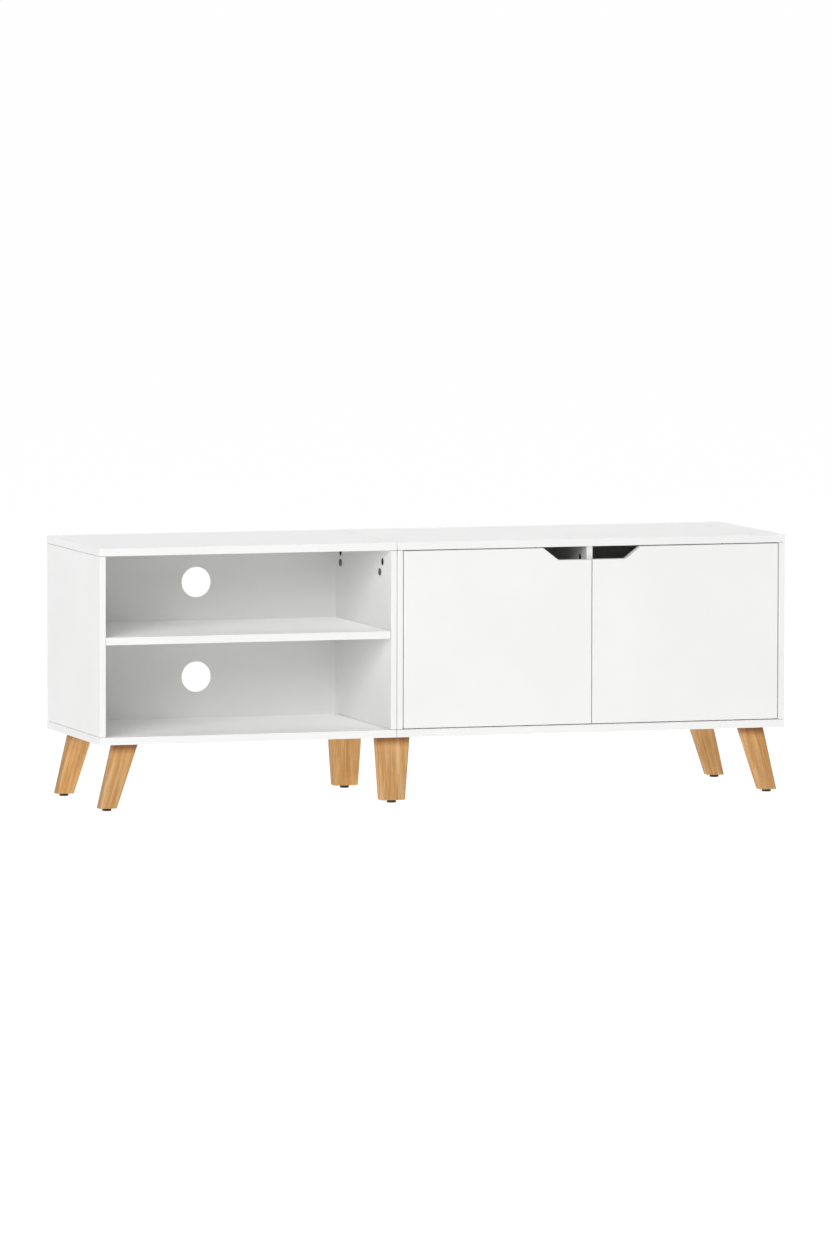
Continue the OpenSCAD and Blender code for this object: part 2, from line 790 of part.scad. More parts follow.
module dowels() {
    color(BEECH) for (u = [END_L, INNER_L, INNER_R, DIVIDER, END_R]) {
        for (y = top_dowel_ys)
            rod([u[0], y, z_ceil - dowel_in_edge], dowel_r, dowel_in_edge + dowel_in_face);
        for (y = base_dowel_ys)
            rod([u[0], y, z_floor - dowel_in_face], dowel_r, dowel_in_edge + dowel_in_face);
    }
}

module base_screws() {
    color(ZINC) for (u = [END_L, INNER_L, INNER_R, DIVIDER, END_R], y = base_ys)
        translate([u[0], y, z_box + slip]) difference() {
            union() {
                cylinder(r = base_head_r, h = base_head_h);
                rod([0, 0, 0], base_neck_r, panel_t - slip);
                rod([0, 0, 0], base_screw_r, base_screw_len - slip);
            }
            translate([0, 0, -over]) cylinder(d = 4, h = 2 + over, $fn = 6);
        }
}

module connector_bolts() {
    color(ZINC) for (y = connector_ys) difference() {
        union() {
            rod([x_seam - side_t, y, connector_z], connector_r, 2 * side_t - over, "x");
            rod([x_seam - side_t, y, connector_z], connector_head_r, connector_head_h, "-x");
        }
        translate([x_seam - side_t - connector_head_h - over, y, connector_z]) rotate([0, 90, 0])
            cylinder(d = 5, h = over + connector_head_h, $fn = 6);
    }
}

module connector_sleeves() {
    color(ZINC) for (y = connector_ys) difference() {
        union() {
            rod([x_seam + over, y, connector_z], sleeve_r, side_t - over, "x");
            rod([x_seam + side_t, y, connector_z], connector_head_r, connector_head_h, "x");
        }
        rod([x_seam, y, connector_z], connector_r + snug, side_t, "x");
    }
}

left_top();
left_bottom();
left_end_side();
left_inner_side();
left_shelf();
left_back();
right_top();
right_bottom();
right_inner_side();
right_end_side();
divider();
right_back();
left_door();
right_door();
cup("left", hinge_zs[1]);  // left_upper_cup
cup("left", hinge_zs[0]);  // left_lower_cup
cup("right", hinge_zs[1]);  // right_upper_cup
cup("right", hinge_zs[0]);  // right_lower_cup
arm("left", hinge_zs[1]);  // left_upper_arm
arm("left", hinge_zs[0]);  // left_lower_arm
arm("right", hinge_zs[1]);  // right_upper_arm
arm("right", hinge_zs[0]);  // right_lower_arm
mounting_plate("left", hinge_zs[1]);  // left_upper_plate
mounting_plate("left", hinge_zs[0]);  // left_lower_plate
mounting_plate("right", hinge_zs[1]);  // right_upper_plate
mounting_plate("right", hinge_zs[0]);  // right_lower_plate
hinge_pins("left");  // left_hinge_pins
hinge_pins("right");  // right_hinge_pins
cup_screws("left");  // left_cup_screws
cup_screws("right");  // right_cup_screws
plate_screws();
arm_screws();
door_stop_pads();
leg(0, leg_ys[0]);  // front_left_leg
leg(1, leg_ys[0]);  // front_middle_leg
leg(2, leg_ys[0]);  // front_right_leg
leg(0, leg_ys[1]);  // rear_left_leg
leg(1, leg_ys[1]);  // rear_middle_leg
leg(2, leg_ys[1]);  // rear_right_leg
glide(0, leg_ys[0]);  // front_left_glide
glide(1, leg_ys[0]);  // front_middle_glide
glide(2, leg_ys[0]);  // front_right_glide
glide(0, leg_ys[1]);  // rear_left_glide
glide(1, leg_ys[1]);  // rear_middle_glide
glide(2, leg_ys[1]);  // rear_right_glide
glide_nails();
leg_inserts();
leg_bolts();
cam_locks();
cam_bolts();
dowels();
base_screws();
connector_bolts();
connector_sleeves();
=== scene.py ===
"""Low TV stand with doors: an open box and a box with two doors, side by side on six splayed legs.

The pieces are made in the order in which the stand is put together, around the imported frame.
Everything is in metres: X runs along the width, the front faces -Y, and the floor is Z = 0.
"""

import math

import bmesh
import bpy
from mathutils import Matrix, Vector


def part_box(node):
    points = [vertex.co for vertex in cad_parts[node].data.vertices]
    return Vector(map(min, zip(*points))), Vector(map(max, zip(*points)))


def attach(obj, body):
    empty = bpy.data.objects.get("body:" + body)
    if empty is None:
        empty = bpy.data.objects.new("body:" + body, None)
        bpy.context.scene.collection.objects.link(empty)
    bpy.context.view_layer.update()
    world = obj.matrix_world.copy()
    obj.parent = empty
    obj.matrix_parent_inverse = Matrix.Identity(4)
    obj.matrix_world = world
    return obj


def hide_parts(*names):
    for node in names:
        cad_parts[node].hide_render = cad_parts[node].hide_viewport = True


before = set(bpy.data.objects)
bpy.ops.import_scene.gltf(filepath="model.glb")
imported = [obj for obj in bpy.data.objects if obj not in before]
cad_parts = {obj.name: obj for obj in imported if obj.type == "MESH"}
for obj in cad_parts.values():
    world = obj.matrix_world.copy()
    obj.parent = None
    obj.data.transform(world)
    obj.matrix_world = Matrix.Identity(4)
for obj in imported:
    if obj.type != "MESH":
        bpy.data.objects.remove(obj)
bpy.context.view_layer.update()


# ---------------------------------------------------------------- boards of the open box
# Five boards of white melamine-faced chipboard, sawn from sheet and edge-banded all round. The
# grooves and the bores for the fittings are cut afterwards, so raw chipboard shows in them.

FACE, BAND, RAW, JOINT = 0, 1, 2, 3  # material places on every board
BOARD_ARRIS = 0.0005                 # the banding is scraped to half a millimetre of rounding
BUTT_GAP = 0.0008                    # a cammed butt joint closes all but this much
BOX_GAP = 0.0006                     # each box stops this far short of the seam between them
SHARP = math.radians(40)             # edges that turn further than this stay crisp
FLAT = math.radians(0.5)             # triangles that turn less than this are one face
WELD = 1e-6                          # corners closer than this are one corner
ON_PLANE = 1e-5                      # a point this close to a plane lies on it
SQUARE_ON = 0.9                      # a face whose normal is this far along an axis is square to it


def paint(code):
    """A colour written as sRGB hex, as the linear colour that a shader works in."""
    parts = [int(code[i:i + 2], 16) / 255 for i in (1, 3, 5)]
    return tuple(p / 12.92 if p <= 0.04045 else ((p + 0.055) / 1.055) ** 2.4 for p in parts) + (1.0,)


def add(tree, kind, inputs, stops=(), **settings):
    """Adds a node with its settings and its links. An input takes a value, or the socket that feeds
    it. Stops are the positions and sRGB hex colours along a ramp."""
    made = tree.nodes.new(kind)
    for name, value in settings.items():
        setattr(made, name, value)
    for name, value in inputs.items():
        if isinstance(value, bpy.types.NodeSocket):
            tree.links.new(value, made.inputs[name])
        else:
            made.inputs[name].default_value = value
    for _ in stops[2:]:
        made.color_ramp.elements.new(0.5)
    for number, (position, code) in enumerate(stops):
        made.color_ramp.elements[number].position = position
        made.color_ramp.elements[number].color = paint(code)
    return made


def blank(name):
    """A new material: its tree, its shader and the place on the piece in metres."""
    material = bpy.data.materials.new(name)
    material.use_nodes = True
    tree = material.node_tree
    where = add(tree, "ShaderNodeTexCoord", {}).outputs["Object"]
    return material, tree, tree.nodes["Principled BSDF"], where


def melamine_face():
    """Melamine paper pressed on chipboard under a matt plate: clean white with a satin sheen.
    It gives a barely uneven white, a soft pebble in the reflections, and duller wiped patches."""
    material, tree, shader, where = blank("white_melamine_face")
    drift = add(tree, "ShaderNodeTexNoise", {"Vector": where, "Scale": 5.0, "Detail": 3.0})
    tint = add(tree, "ShaderNodeValToRGB", {"Fac": drift.outputs["Fac"]},
               stops=((0.35, "#f2f2f1"), (0.65, "#f5f5f4")))
    tree.links.new(tint.outputs["Color"], shader.inputs["Base Color"])
    # Wiping with a cloth leaves streaks about 12 mm wide and 10 times as long
    along = add(tree, "ShaderNodeMapping", {"Vector": where, "Scale": (0.1, 1.0, 1.0)})
    wiped = add(tree, "ShaderNodeTexNoise", {"Vector": along.outputs["Vector"], "Scale": 80.0})
    dull = add(tree, "ShaderNodeMapRange",
               {"Value": wiped.outputs["Fac"], "From Min": 0.3, "From Max": 0.7,
                "To Min": 0.36, "To Max": 0.46})
    tree.links.new(dull.outputs["Result"], shader.inputs["Roughness"])
    # The press plate's pebble is 0.7 mm; it is drawn at 3 mm so that it shows
    pebble = add(tree, "ShaderNodeTexNoise", {"Vector": where, "Scale": 330.0, "Detail": 2.0})
    relief = add(tree, "ShaderNodeBump",
                 {"Height": pebble.outputs["Fac"], "Strength": 0.12, "Distance": 0.0002})
    tree.links.new(relief.outputs["Normal"], shader.inputs["Normal"])
    shader.inputs["IOR"].default_value = 1.5
    shader.inputs["Sheen Weight"].default_value = 1.0
    shader.inputs["Sheen Roughness"].default_value = 0.35
    return material


def edge_band():
    """Extruded ABS edge banding, 0.4 mm thick: a slightly greyer and glossier white than the face.
    It gives a fine drag line along every edge, and small rubbed marks where hands and feet reach."""
    material, tree, shader, where = blank("white_abs_edge_band")
    rub = add(tree, "ShaderNodeTexNoise",
              {"Vector": where, "Scale": 45.0, "Detail": 5.0, "Roughness": 0.7})
    tint = add(tree, "ShaderNodeValToRGB", {"Fac": rub.outputs["Fac"]},
               stops=((0.30, "#dfdedc"), (0.42, "#e7e7e6")))
    tree.links.new(tint.outputs["Color"], shader.inputs["Base Color"])
    worn = add(tree, "ShaderNodeMapRange",
               {"Value": rub.outputs["Fac"], "From Min": 0.3, "From Max": 0.5,
                "To Min": 0.5, "To Max": 0.3})
    tree.links.new(worn.outputs["Result"], shader.inputs["Roughness"])
    # Drag lines of the extrusion die, 1 mm apart and long
    line = add(tree, "ShaderNodeMapping", {"Vector": where, "Scale": (0.03, 1.0, 0.5)})
    drag = add(tree, "ShaderNodeTexNoise", {"Vector": line.outputs["Vector"], "Scale": 900.0})
    relief = add(tree, "ShaderNodeBump",
                 {"Height": drag.outputs["Fac"], "Strength": 0.08, "Distance": 0.0001})
    tree.links.new(relief.outputs["Normal"], shader.inputs["Normal"])
    shader.inputs["IOR"].default_value = 1.53
    return material


def raw_chipboard():
    """Pressed wood chips in resin, seen only in bores and grooves: tan flakes and dark specks.
    It gives a coarse mottled brown with a torn surface."""
    material, tree, shader, where = blank("raw_chipboard")
    # Chips are about 2 mm across
    chips = add(tree, "ShaderNodeTexVoronoi", {"Vector": where, "Scale": 500.0, "Randomness": 1.0})
    grey = add(tree, "ShaderNodeRGBToBW", {"Color": chips.outputs["Color"]})
    tint = add(tree, "ShaderNodeValToRGB", {"Fac": grey.outputs["Val"]},
               stops=((0.15, "#7d5f3a"), (0.45, "#b8955f"), (0.8, "#dcc398")))
    tree.links.new(tint.outputs["Color"], shader.inputs["Base Color"])
    relief = add(tree, "ShaderNodeBump",
                 {"Height": chips.outputs["Distance"], "Strength": 0.6, "Distance": 0.0005})
    tree.links.new(relief.outputs["Normal"], shader.inputs["Normal"])
    shader.inputs["Roughness"].default_value = 0.9
    return material


def joint_shade():
    """The banding inside a joint, painted dark grey to stand in for the shade in the gap.
    It gives each joint a soft grey line of painted shade."""
    material, tree, shader, where = blank("joint_band_painted_shade")
    shade_mottle = add(tree, "ShaderNodeTexNoise", {"Vector": where, "Scale": 60.0, "Detail": 4.0})
    tint = add(tree, "ShaderNodeValToRGB", {"Fac": shade_mottle.outputs["Fac"]},
               stops=((0.35, "#6b6a68"), (0.65, "#7a7977")))
    tree.links.new(tint.outputs["Color"], shader.inputs["Base Color"])
    relief = add(tree, "ShaderNodeBump",
                 {"Height": shade_mottle.outputs["Fac"], "Strength": 0.2, "Distance": 0.0001})
    tree.links.new(relief.outputs["Normal"], shader.inputs["Normal"])
    shader.inputs["Roughness"].default_value = 0.9
    return material


def reskin(node):
    """A part's own shape as one clean skin: its triangles joined, and flat ones made whole faces."""
    skin = bmesh.new()
    skin.from_mesh(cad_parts[node].data)
    bmesh.ops.remove_doubles(skin, verts=skin.verts, dist=WELD)
    bmesh.ops.dissolve_limit(skin, angle_limit=FLAT, verts=skin.verts, edges=skin.edges)
    return skin


def crisp_edges(skin, wanted=lambda middle: True):
    """The edges that turn sharply and whose middle is wanted."""
    return [edge for edge in skin.edges
            if len(edge.link_faces) == 2 and edge.calc_face_angle() > SHARP
            and wanted((edge.verts[0].co + edge.verts[1].co) / 2)]


def ease(skin, edges, width, segments=3):
    """Rounds these edges over."""
    bmesh.ops.bevel(skin, geom=edges, offset=width, segments=segments, profile=0.5,
                    affect="EDGES", material=-1, clamp_overlap=True)


def place(skin, name, materials, body, slot, *nodes):
    """Makes a skin a finished piece that rides on a body and stands for its CAD nodes."""
    for face in skin.faces:
        face.smooth = True
    for edge in skin.edges:
        edge.smooth = len(edge.link_faces) == 2 and edge.calc_face_angle() < SHARP
    mesh = bpy.data.meshes.new(name)
    skin.to_mesh(mesh)
    skin.free()
    mesh.materials.clear()
    for material in materials:
        mesh.materials.append(material)
    piece = bpy.data.objects.new(name, mesh)
    bpy.context.scene.collection.objects.link(piece)
    piece.modifiers.new("even_shading", "WEIGHTED_NORMAL").keep_sharp = True
    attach(piece, body)
    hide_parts(*nodes)
    return piece


def on_box(node, planes=2, near=ON_PLANE):
    """Tells whether a point lies on that many outer planes of a node's box."""
    low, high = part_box(node)

    def check(point):
        met = [i for i in range(3) if min(abs(point[i] - low[i]), abs(point[i] - high[i])) < near]
        return len(met) >= planes
    return check


def saw_board(name, node, through, joints=()):
    """Makes a board. `through` is the axis through its thickness: 0, 1 or 2. Each joint is an axis,
    the end that meets another board, 1 or -1, and the gap that is left there; the faces in the joint
    take the painted joint shade, which makes the fine dark line."""
    skin = reskin(node)
    ease(skin, crisp_edges(skin, on_box(node)), BOARD_ARRIS)
    outside = on_box(node, planes=1, near=BOARD_ARRIS)
    for face in skin.faces:
        middle = face.calc_center_median()
        if not outside(middle):
            face.material_index = RAW
        elif abs(face.normal[through]) > SQUARE_ON:
            face.material_index = FACE
        else:
            face.material_index = BAND
    ends = {1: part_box(node)[1], -1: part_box(node)[0]}
    for axis, end, gap in joints:
        back = Vector((0.0, 0.0, 0.0))
        back[axis] = -end * gap
        meeting = {vert for vert in skin.verts
                   if abs(vert.co[axis] - ends[end][axis]) < BOARD_ARRIS + ON_PLANE}
        # Faces in the joint take the painted shade of the gap
        for face in skin.faces:
            if all(vert in meeting for vert in face.verts):
                face.material_index = JOINT
        bmesh.ops.translate(skin, vec=back, verts=list(meeting))
    place(skin, name, board_materials, "cabinet", "white_board", node)


board_materials = [melamine_face(), edge_band(), raw_chipboard(), joint_shade()]
head_and_foot = ((2, 1, BUTT_GAP), (2, -1, BUTT_GAP))
saw_board("open_box_top", "left_top", 2, [(0, 1, BOX_GAP)])
saw_board("open_box_bottom", "left_bottom", 2, [(0, 1, BOX_GAP)])
saw_board("open_box_end_side", "left_end_side", 0, head_and_foot)
saw_board("open_box_inner_side", "left_inner_side", 0, (*head_and_foot, (0, 1, BOX_GAP)))
saw_board("open_box_shelf", "left_shelf", 2, ((0, 1, BUTT_GAP), (0, -1, BUTT_GAP)))


# ---------------------------------------------------------------- boards of the box with doors
# The same board stock. The divider is set back by the thickness of the doors that close on it.

saw_board("door_box_top", "right_top", 2, [(0, -1, BOX_GAP)])
saw_board("door_box_bottom", "right_bottom", 2, [(0, -1, BOX_GAP)])
saw_board("door_box_inner_side", "right_inner_side", 0, (*head_and_foot, (0, -1, BOX_GAP)))
saw_board("door_box_end_side", "right_end_side", 0, head_and_foot)
saw_board("door_box_divider", "divider", 0, head_and_foot)


# ---------------------------------------------------------------- back panels
# Thin hardboard, white lacquer in front and the press screen's mesh behind. They slide in grooves,
# and each cable hole is drilled with a hole saw.

HOLE_ARRIS = 0.0003
LOOKS_OUT = 0.5                      # a face whose normal is this far along Y is coated


def lacquered_hardboard():
    """White lacquer rolled on hardboard: flatter and greyer than the melamine.
    It gives the faint wet ripple of a roller coat."""
    material, tree, shader, where = blank("white_lacquered_hardboard")
    coat = add(tree, "ShaderNodeTexNoise", {"Vector": where, "Scale": 9.0, "Detail": 4.0})
    tint = add(tree, "ShaderNodeValToRGB", {"Fac": coat.outputs["Fac"]},
               stops=((0.35, "#f2f2f1"), (0.65, "#f4f4f3")))
    tree.links.new(tint.outputs["Color"], shader.inputs["Base Color"])
    ripple = add(tree, "ShaderNodeTexNoise", {"Vector": where, "Scale": 180.0, "Detail": 2.0})
    relief = add(tree, "ShaderNodeBump",
                 {"Height": ripple.outputs["Fac"], "Strength": 0.2, "Distance": 0.0003})
    tree.links.new(relief.outputs["Normal"], shader.inputs["Normal"])
    shader.inputs["Roughness"].default_value = 0.5
    return material


def screen_back():
    """The rear of hardboard, primed white over the mesh that the press screen leaves.
    It gives a dull off-white with a small regular weave."""
    material, tree, shader, where = blank("primed_screen_back")
    # The wire mesh has a 1.6 mm pitch; it is drawn at 3.2 mm so that it shows. At a scale of 1,
    # a wave runs through 20 radians in a metre.
    drawn_pitch = 0.0032
    wires = 2 * math.pi / drawn_pitch / 20
    wire_x = add(tree, "ShaderNodeTexWave", {"Vector": where, "Scale": wires, "Distortion": 0.3},
                 bands_direction="X")
    wire_z = add(tree, "ShaderNodeTexWave", {"Vector": where, "Scale": wires, "Distortion": 0.3},
                 bands_direction="Z")
    mesh = add(tree, "ShaderNodeMath", {0: wire_x.outputs["Fac"], 1: wire_z.outputs["Fac"]},
               operation="MULTIPLY")
    fibre = add(tree, "ShaderNodeTexNoise", {"Vector": where, "Scale": 120.0, "Detail": 6.0})
    tint = add(tree, "ShaderNodeValToRGB", {"Fac": fibre.outputs["Fac"]},
               stops=((0.3, "#dcd9d2"), (0.7, "#e8e6e1")))
    tree.links.new(tint.outputs["Color"], shader.inputs["Base Color"])
    relief = add(tree, "ShaderNodeBump",
                 {"Height": mesh.outputs["Value"], "Strength": 0.5, "Distance": 0.0004})
    tree.links.new(relief.outputs["Normal"], shader.inputs["Normal"])
    shader.inputs["Roughness"].default_value = 0.75
    return material


def raw_hardboard():
    """Sawn edge of hardboard: dense brown fibre with a fuzzy surface."""
    material, tree, shader, where = blank("sawn_hardboard_edge")
    fibre = add(tree, "ShaderNodeTexNoise", {"Vector": where, "Scale": 1500.0, "Detail": 4.0})
    tint = add(tree, "ShaderNodeValToRGB", {"Fac": fibre.outputs["Fac"]},
               stops=((0.3, "#b79a74"), (0.7, "#d6c2a0")))
    tree.links.new(tint.outputs["Color"], shader.inputs["Base Color"])
    relief = add(tree, "ShaderNodeBump",
                 {"Height": fibre.outputs["Fac"], "Strength": 0.5, "Distance": 0.0002})
    tree.links.new(relief.outputs["Normal"], shader.inputs["Normal"])
    shader.inputs["Roughness"].default_value = 0.9
    return material


back_materials = [lacquered_hardboard(), screen_back(), raw_hardboard()]
for name, node in (("open_box_back", "left_back"), ("door_box_back", "right_back")):
    skin = reskin(node)
    ease(skin, crisp_edges(skin), HOLE_ARRIS, segments=2)
    for face in skin.faces:
        if face.normal.y < -LOOKS_OUT:
            face.material_index = 0
        elif face.normal.y > LOOKS_OUT:
            face.material_index = 1
        else:
            face.material_index = 2
    place(skin, name, back_materials, "cabinet", "white_hardboard", node)


# ---------------------------------------------------------------- doors
# Two inset doors of the same white board, banded round the outline and the finger cut-out. The
# back has a bore for each hinge cup.

DOOR_ARRIS = 0.0008
HINGE_ZONE = 0.050                   # the cup bores end this far from the hinge edge

for side in ("left", "right"):
    node = side + "_door"
    low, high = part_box(node)
    free_side = 1 if side == "left" else -1
    hinge_x = low.x if side == "left" else high.x
    on_outline = on_box(node)

    def outer(point):
        in_hinge_zone = free_side * (point.x - hinge_x) < HINGE_ZONE
        on_skin = min(point.y - low.y, high.y - point.y) < ON_PLANE
        return on_outline(point) or (on_skin and not in_hinge_zone)

    skin = reskin(node)
    ease(skin, crisp_edges(skin, outer), DOOR_ARRIS)
    outside = on_box(node, planes=1, near=DOOR_ARRIS)
    for face in skin.faces:
        middle = face.calc_center_median()
        in_hinge_zone = free_side * (middle.x - hinge_x) < HINGE_ZONE
        if in_hinge_zone and not outside(middle):
            face.material_index = RAW
        elif abs(face.normal.y) > SQUARE_ON and outside(middle):
            face.material_index = FACE
        else:
            face.material_index = BAND
    place(skin, "door_" + side, board_materials, node, "white_board", node)


# ---------------------------------------------------------------- legs
# Six tapered legs of solid oak, planed, rounded on the upright edges and lacquered clear. The end
# legs lean outwards, and the grain runs along each leg.

FOOT_ARRIS = 0.0022
FOOT_ZONE = 0.02                     # a face whose middle is above this is a side of the leg
LEG_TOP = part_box("front_left_leg")[1].z
# Painted shade darkens the top of each leg, where the cabinet bottom shades it
HEAD_SHADE_DEPTH = 0.024                  # how far down the head is darker
ALONG_PLANK = Vector((0.31, 0.17, 1.9))   # from the blank of one leg to that of the next
LEGS = ("front_left", "front_middle", "front_right", "rear_left", "rear_middle", "rear_right")


def lacquered_oak():
    """Honey-coloured oak under a clear satin lacquer.
    It gives wide light and dark stripes along the leg, fine fibre between them, short open pores,
    and a painted shade at the head, where the cabinet bottom above shades it."""
    material, tree, shader, where = blank("honey_oak_satin_lacquer")
    grain = add(tree, "ShaderNodeAttribute", {}, attribute_name="grain").outputs["Vector"]
    # Growth stripes are about 7 mm wide and run the length of the leg
    long_way = add(tree, "ShaderNodeMapping", {"Vector": grain, "Scale": (1.0, 1.0, 0.05)})
    stripes = add(tree, "ShaderNodeTexNoise",
                  {"Vector": long_way.outputs["Vector"], "Scale": 140.0, "Detail": 3.0,
                   "Roughness": 0.45, "Distortion": 0.25})
    tone = add(tree, "ShaderNodeValToRGB", {"Fac": stripes.outputs["Fac"]},
               stops=((0.30, "#bb874c"), (0.45, "#c9975b"), (0.55, "#d1a36b"), (0.70, "#dcb584")))
    # Fibres are 0.4 mm wide; they are drawn at 1 mm so that they show
    fibre_way = add(tree, "ShaderNodeMapping", {"Vector": grain, "Scale": (1.0, 1.0, 0.03)})
    fibres = add(tree, "ShaderNodeTexNoise",
                 {"Vector": fibre_way.outputs["Vector"], "Scale": 1000.0, "Detail": 3.0})
    streak = add(tree, "ShaderNodeValToRGB", {"Fac": fibres.outputs["Fac"]},
                 stops=((0.3, "#d8d0c6"), (0.6, "#ffffff")))
    streaked = add(tree, "ShaderNodeMix",
                   {0: 0.8, 6: tone.outputs["Color"], 7: streak.outputs["Color"]},
                   data_type="RGBA", blend_type="MULTIPLY")
    # Pores are 3 to 6 mm long and 0.3 mm wide
    pore_way = add(tree, "ShaderNodeMapping", {"Vector": grain, "Scale": (1.0, 1.0, 0.07)})
    pores = add(tree, "ShaderNodeTexNoise",
                {"Vector": pore_way.outputs["Vector"], "Scale": 2600.0, "Detail": 1.0})
    open_pore = add(tree, "ShaderNodeMapRange",
                    {"Value": pores.outputs["Fac"], "From Min": 0.62, "From Max": 0.72,
                     "To Min": 0.0, "To Max": 0.45})
    wood = add(tree, "ShaderNodeMix",
               {0: open_pore.outputs["Result"], 6: streaked.outputs[2], 7: paint("#7d5226")},
               data_type="RGBA", blend_type="MIX")
    # Painted shade: the last 24 mm below the cabinet are darker and redder, standing in for the shade
    # that the cabinet bottom casts
    height = add(tree, "ShaderNodeSeparateXYZ", {"Vector": where}).outputs["Z"]
    head_shade_mask = add(tree, "ShaderNodeMapRange",
                 {"Value": height, "From Min": LEG_TOP - HEAD_SHADE_DEPTH, "From Max": LEG_TOP - 0.002},
                 interpolation_type="SMOOTHSTEP")
    head_shaded = add(tree, "ShaderNodeMix",
                 {0: head_shade_mask.outputs["Result"], 6: wood.outputs[2], 7: paint("#b39f92")},
                 data_type="RGBA", blend_type="MULTIPLY")
    tree.links.new(head_shaded.outputs[2], shader.inputs["Base Color"])
    gloss = add(tree, "ShaderNodeMapRange",
                {"Value": fibres.outputs["Fac"], "From Min": 0.3, "From Max": 0.7,
                 "To Min": 0.6, "To Max": 0.48})
    tree.links.new(gloss.outputs["Result"], shader.inputs["Roughness"])
    relief = add(tree, "ShaderNodeBump",
                 {"Height": fibres.outputs["Fac"], "Strength": 0.25, "Distance": 0.0002})
    tree.links.new(relief.outputs["Normal"], shader.inputs["Normal"])
    shader.inputs["IOR"].default_value = 1.5
    shader.inputs["Specular IOR Level"].default_value = 0.3
    return material


oak = lacquered_oak()
for number, place_of_leg in enumerate(LEGS):
    node = place_of_leg + "_leg"
    low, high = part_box(node)
    skin = reskin(node)
    foot = crisp_edges(skin, lambda middle: abs(middle.z - low.z) < ON_PLANE)
    outline = [edge for edge in foot
               if any(face.calc_center_median().z > low.z + FOOT_ZONE for face in edge.link_faces)]
    ease(skin, outline, FOOT_ARRIS, segments=4)
    leg = place(skin, place_of_leg + "_oak_leg", [oak], "cabinet", "oak_leg", node)
    # The grain's own axes: across, through and along the leg, each leg from another part of the plank
    glide_low, glide_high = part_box(place_of_leg + "_glide")
    foot_x = (glide_low.x + glide_high.x) / 2
    tops = [v.co.x for v in leg.data.vertices if v.co.z > high.z - ON_PLANE]
    top_x = (min(tops) + max(tops)) / 2
    lean = math.atan2(top_x - foot_x, high.z - low.z)
    to_foot = Matrix.Translation((-foot_x, -(low.y + high.y) / 2, -low.z))
    upright = Matrix.Rotation(-lean, 4, "Y") @ to_foot
    plank = ALONG_PLANK * (number + 1)
    grain = leg.data.attributes.new("grain", "FLOAT_VECTOR", "POINT")
    for vertex, value in zip(leg.data.vertices, grain.data):
        value.vector = upright @ vertex.co + plank


# ---------------------------------------------------------------- glides and their nails
# A black plastic disc nailed under every leg, moulded with a rounded rim and a countersink. The
# nail has a flat steel head that stays clear of the floor.

GLIDE_RIM = 0.00025


def moulded_black():
    """Black polypropylene from a spark-eroded mould: deep black with a dry sheen.
    It gives a fine speckle, and greyer scuffs where it meets the floor."""
    material, tree, shader, where = blank("black_moulded_polypropylene")
    scuff = add(tree, "ShaderNodeTexNoise", {"Vector": where, "Scale": 260.0, "Detail": 5.0})
    tint = add(tree, "ShaderNodeValToRGB", {"Fac": scuff.outputs["Fac"]},
               stops=((0.45, "#0b0b0c"), (0.75, "#1d1d1f")))
    tree.links.new(tint.outputs["Color"], shader.inputs["Base Color"])
    # The mould texture is 0.15 mm; it is drawn at 0.5 mm so that it shows
    speckle = add(tree, "ShaderNodeTexNoise", {"Vector": where, "Scale": 2000.0})
    relief = add(tree, "ShaderNodeBump",
                 {"Height": speckle.outputs["Fac"], "Strength": 0.3, "Distance": 0.0001})
    tree.links.new(relief.outputs["Normal"], shader.inputs["Normal"])
    shader.inputs["Roughness"].default_value = 0.6
    shader.inputs["IOR"].default_value = 1.49
    return material


def bright_steel():
    """Drawn steel wire, cut and left bare: grey and shiny with dull spots of oil and handling."""
    material, tree, shader, where = blank("bright_drawn_steel")
    spots = add(tree, "ShaderNodeTexNoise", {"Vector": where, "Scale": 400.0, "Detail": 4.0})
    dull = add(tree, "ShaderNodeMapRange",
               {"Value": spots.outputs["Fac"], "From Min": 0.35, "From Max": 0.65,
                "To Min": 0.26, "To Max": 0.44})
    tree.links.new(dull.outputs["Result"], shader.inputs["Roughness"])
    tint = add(tree, "ShaderNodeValToRGB", {"Fac": spots.outputs["Fac"]},
               stops=((0.3, "#b9babc"), (0.7, "#a7a8aa")))
    tree.links.new(tint.outputs["Color"], shader.inputs["Base Color"])
    relief = add(tree, "ShaderNodeBump",
                 {"Height": spots.outputs["Fac"], "Strength": 0.15, "Distance": 0.00005})
    tree.links.new(relief.outputs["Normal"], shader.inputs["Normal"])
    shader.inputs["Metallic"].default_value = 1.0
    return material


black_plastic = moulded_black()
steel = bright_steel()
for place_of_leg in LEGS:
    node = place_of_leg + "_glide"
    skin = reskin(node)
    ease(skin, crisp_edges(skin), GLIDE_RIM, segments=2)
    place(skin, place_of_leg + "_round_glide", [black_plastic], "cabinet", "black_glide", node)


def finish_node(node, material):
    """Gives a part that keeps its CAD shape its finish."""
    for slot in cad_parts[node].material_slots:
        slot.material = material


for node in ("glide_nails", "cam_bolts"):
    finish_node(node, steel)


# ---------------------------------------------------------------- hinges
# Four concealed cup hinges of pressed steel, nickel plated: a cup let into the door, an arm that
# turns on the cup's pin, and a plate screwed to the side panel.

PRESSED_ARRIS = 0.0002


